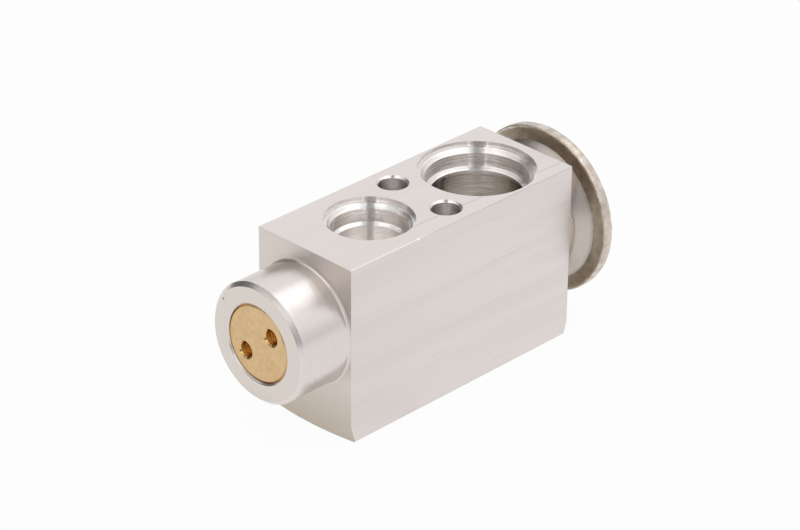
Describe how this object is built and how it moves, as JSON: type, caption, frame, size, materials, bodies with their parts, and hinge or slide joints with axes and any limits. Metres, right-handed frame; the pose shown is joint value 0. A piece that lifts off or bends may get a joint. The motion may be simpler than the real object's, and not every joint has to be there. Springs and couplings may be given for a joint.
{
  "type": "expansion valve",
  "caption": "Block-type thermostatic expansion valve: turned aluminium block with ports, screw-adjusted ball valve inside and a welded diaphragm head on its end.",
  "frame": {"origin": "midway between the two bolt holes, on the block's bottom face", "axes": "+X along the valve axis to the power head, +Y across the block, +Z out of the port face"},
  "size_m": [0.0946, 0.0402, 0.0447],
  "materials": {
    "block_aluminium": "extruded and turned, satin",
    "plug_brass": "turned",
    "seal_rubber": "matt",
    "spring_steel": "drawn wire and strip",
    "ball_steel": "polished",
    "pin_steel": "ground",
    "carrier_brass": "turned",
    "washer_plastic": "matt",
    "rod_aluminium": "turned",
    "head_steel": "pressed, tinted brown by welding"
  },
  "bodies": {
    "valve_block": {"valve_body": "block_aluminium", "pin_seal_ring": "seal_rubber", "seal_washer": "washer_plastic", "seal_retainer": "spring_steel", "lower_housing": "head_steel", "upper_housing": "head_steel", "rim_weld": "head_steel", "fill_plug": "head_steel", "diaphragm": "head_steel", "head_seal_ring": "seal_rubber", "bias_spring": "spring_steel"},
    "plug_slide": {"plug_seal_ring": "seal_rubber"},
    "plug": {"adjusting_plug": "plug_brass"},
    "valve_train": {"diaphragm_stopper": "pin_steel", "sensing_rod": "rod_aluminium", "operating_pin": "pin_steel", "valve_ball": "ball_steel", "ball_carrier": "carrier_brass", "vibration_damper": "spring_steel"}
  },
  "joints": [
    {"name": "valve_stroke", "type": "slide", "parent": "valve_block", "child": "valve_train", "axis": [-1, 0, 0], "range_m": [0, 0.0008], "stiffness_N_per_m": 40000, "deforming": ["bias_spring", "diaphragm"]},
    {"name": "plug_advance", "type": "slide", "parent": "valve_block", "child": "plug_slide", "axis": [1, 0, 0], "range_m": [-0.001, 0.001], "deforming": ["bias_spring"]},
    {"name": "plug_turn", "type": "hinge", "parent": "plug_slide", "child": "plug", "pos_m": [-0.043, 0, 0.0246], "axis": [1, 0, 0], "range_deg": [-360, 360]}
  ],
  "couplings": [
    {"joint": "plug_advance", "follows": "plug_turn", "m_per_rad": 0.00015915}
  ]
}
